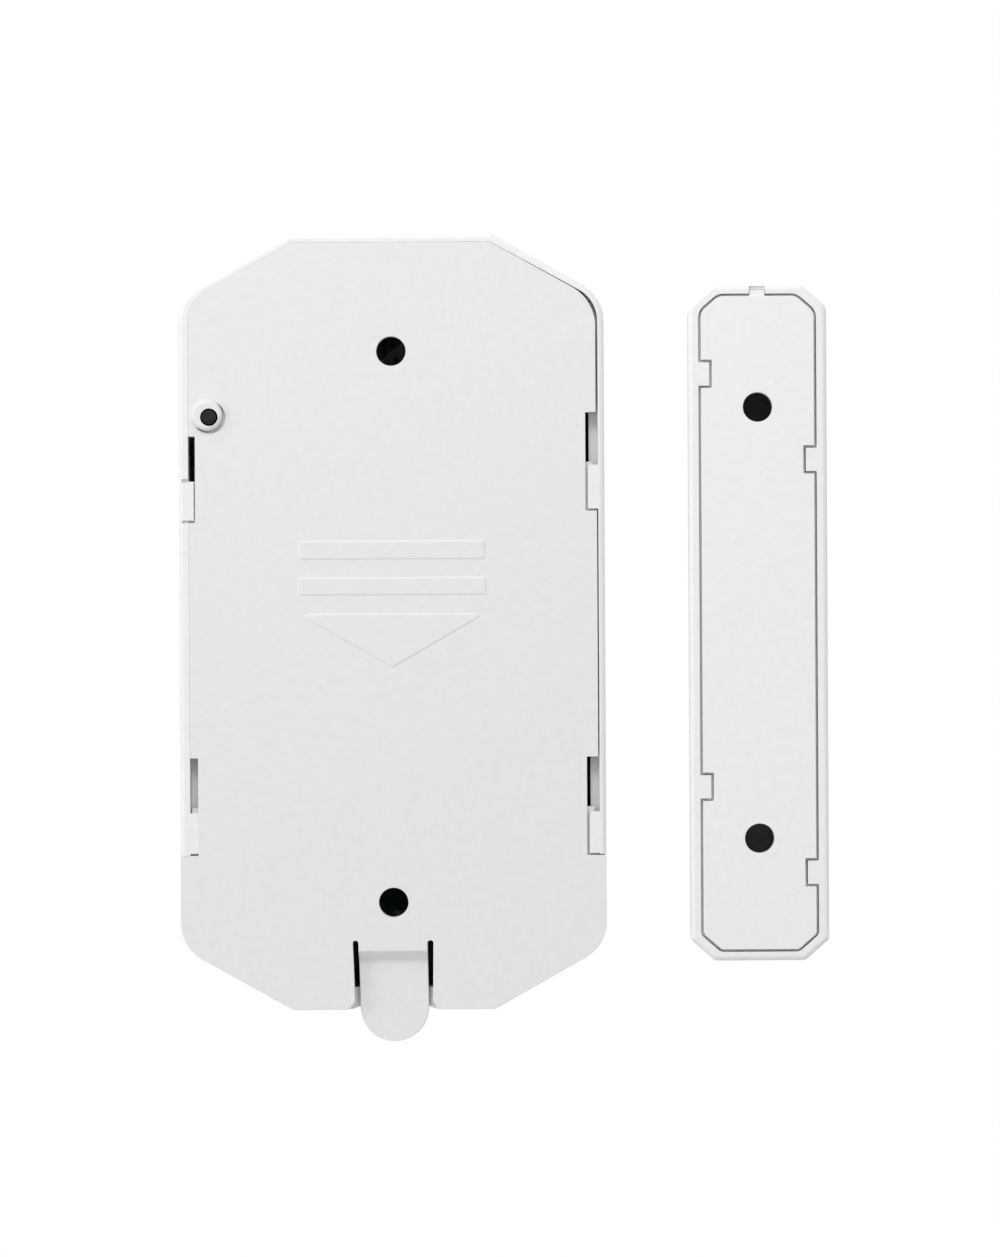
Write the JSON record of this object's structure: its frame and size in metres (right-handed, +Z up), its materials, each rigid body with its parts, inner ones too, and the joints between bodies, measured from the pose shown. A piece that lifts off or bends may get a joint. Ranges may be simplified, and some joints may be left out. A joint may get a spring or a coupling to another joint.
{
  "type": "door contact sensor",
  "caption": "Wireless door contact sensor: octagonal transmitter case on a slide-off wall plate with release tab and tamper pin, beside a slim bar-magnet unit.",
  "frame": {"origin": "centre of the transmitter's outline, in the plane of its wall plate's rear face, where it meets the wall", "axes": "+Z up along the long side as mounted, +Y out of the rear face into the wall or door frame, -Y towards the room, magnet unit on the -X side"},
  "size_m": [0.0649, 0.019, 0.0809],
  "materials": {
    "white_abs": "fine spark-eroded texture",
    "black_plastic": "moulded",
    "chip_epoxy": "moulded epoxy",
    "button_plastic": "moulded",
    "lens": "polished translucent",
    "green_laminate": "solder resist over glass laminate",
    "plated_steel": "nickel or zinc plated",
    "battery_sleeve": "shrink sleeve",
    "reed_glass": "clear",
    "capacitor_sleeve": "shrink sleeve",
    "enamelled_copper": "enamelled wire",
    "led_body": "clear epoxy",
    "resistor_black": "glazed ceramic",
    "ceramic_tan": "fired ceramic",
    "ferrite": "sintered, dark grey",
    "foam_tape": "closed-cell foam"
  },
  "bodies": {
    "plate": {"mounting_plate": "white_abs"},
    "release_tab": {"release_tab": "white_abs"},
    "tamper_pin": {"tamper_pin": "black_plastic"},
    "transmitter": {"front_housing": "white_abs", "led_window": "lens", "circuit_board": "green_laminate", "board_screw_1": "plated_steel", "board_screw_2": "plated_steel", "board_screw_3": "plated_steel", "board_screw_4": "plated_steel", "battery_cell": "battery_sleeve", "battery_positive_cap": "plated_steel", "battery_contact_positive": "plated_steel", "battery_contact_negative": "plated_steel", "battery_spring": "plated_steel", "reed_glass": "reed_glass", "reed_lead_lower": "plated_steel", "reed_lead_upper": "plated_steel", "tamper_switch_body": "black_plastic", "encoder_chip": "chip_epoxy", "rf_transistor": "chip_epoxy", "saw_resonator": "plated_steel", "electrolytic_capacitor": "capacitor_sleeve", "antenna_coil": "enamelled_copper", "resistor_1": "resistor_black", "resistor_2": "resistor_black", "resistor_3": "resistor_black", "resistor_4": "resistor_black", "ceramic_capacitor_1": "ceramic_tan", "ceramic_capacitor_2": "ceramic_tan", "status_led": "led_body"},
    "tamper_button": {"tamper_switch_button": "button_plastic"},
    "reed_blade": {"reed_blade": "plated_steel"},
    "magnet_base": {"magnet_cover": "white_abs"},
    "magnet_housing": {"magnet_case": "white_abs", "bar_magnet": "ferrite", "magnet_adhesive_pad": "foam_tape"}
  },
  "joints": [
    {"name": "body_slide", "type": "slide", "parent": "plate", "child": "transmitter", "axis": [0, 0, 1], "range_m": [0, 0.0045]},
    {"name": "release_tab_flex", "type": "hinge", "parent": "plate", "child": "release_tab", "pos_m": [0, -0.0008, -0.032], "axis": [1, 0, 0], "range_deg": [0, 6], "stiffness_Nm_per_rad": 0.001},
    {"name": "tamper_pin_press", "type": "slide", "parent": "plate", "child": "tamper_pin", "axis": [0, -1, 0], "range_m": [0, 0.0007], "stiffness_N_per_m": 10},
    {"name": "tamper_button_press", "type": "slide", "parent": "transmitter", "child": "tamper_button", "axis": [0, -1, 0], "range_m": [0, 0.0007]},
    {"name": "reed_close", "type": "hinge", "parent": "transmitter", "child": "reed_blade", "pos_m": [-0.01723, -0.0124, 0.0052], "axis": [0, 1, 0], "range_deg": [0, 1.4], "stiffness_Nm_per_rad": 0.00002},
    {"name": "door_travel", "type": "slide", "parent": "plate", "child": "magnet_base", "axis": [-1, 0, 0], "range_m": [0, 0.06]},
    {"name": "magnet_case_pull", "type": "slide", "parent": "magnet_base", "child": "magnet_housing", "axis": [0, -1, 0], "range_m": [0, 0.006]}
  ],
  "couplings": [
    {"joint": "tamper_button_press", "follows": "tamper_pin_press", "ratio": 1}
  ]
}
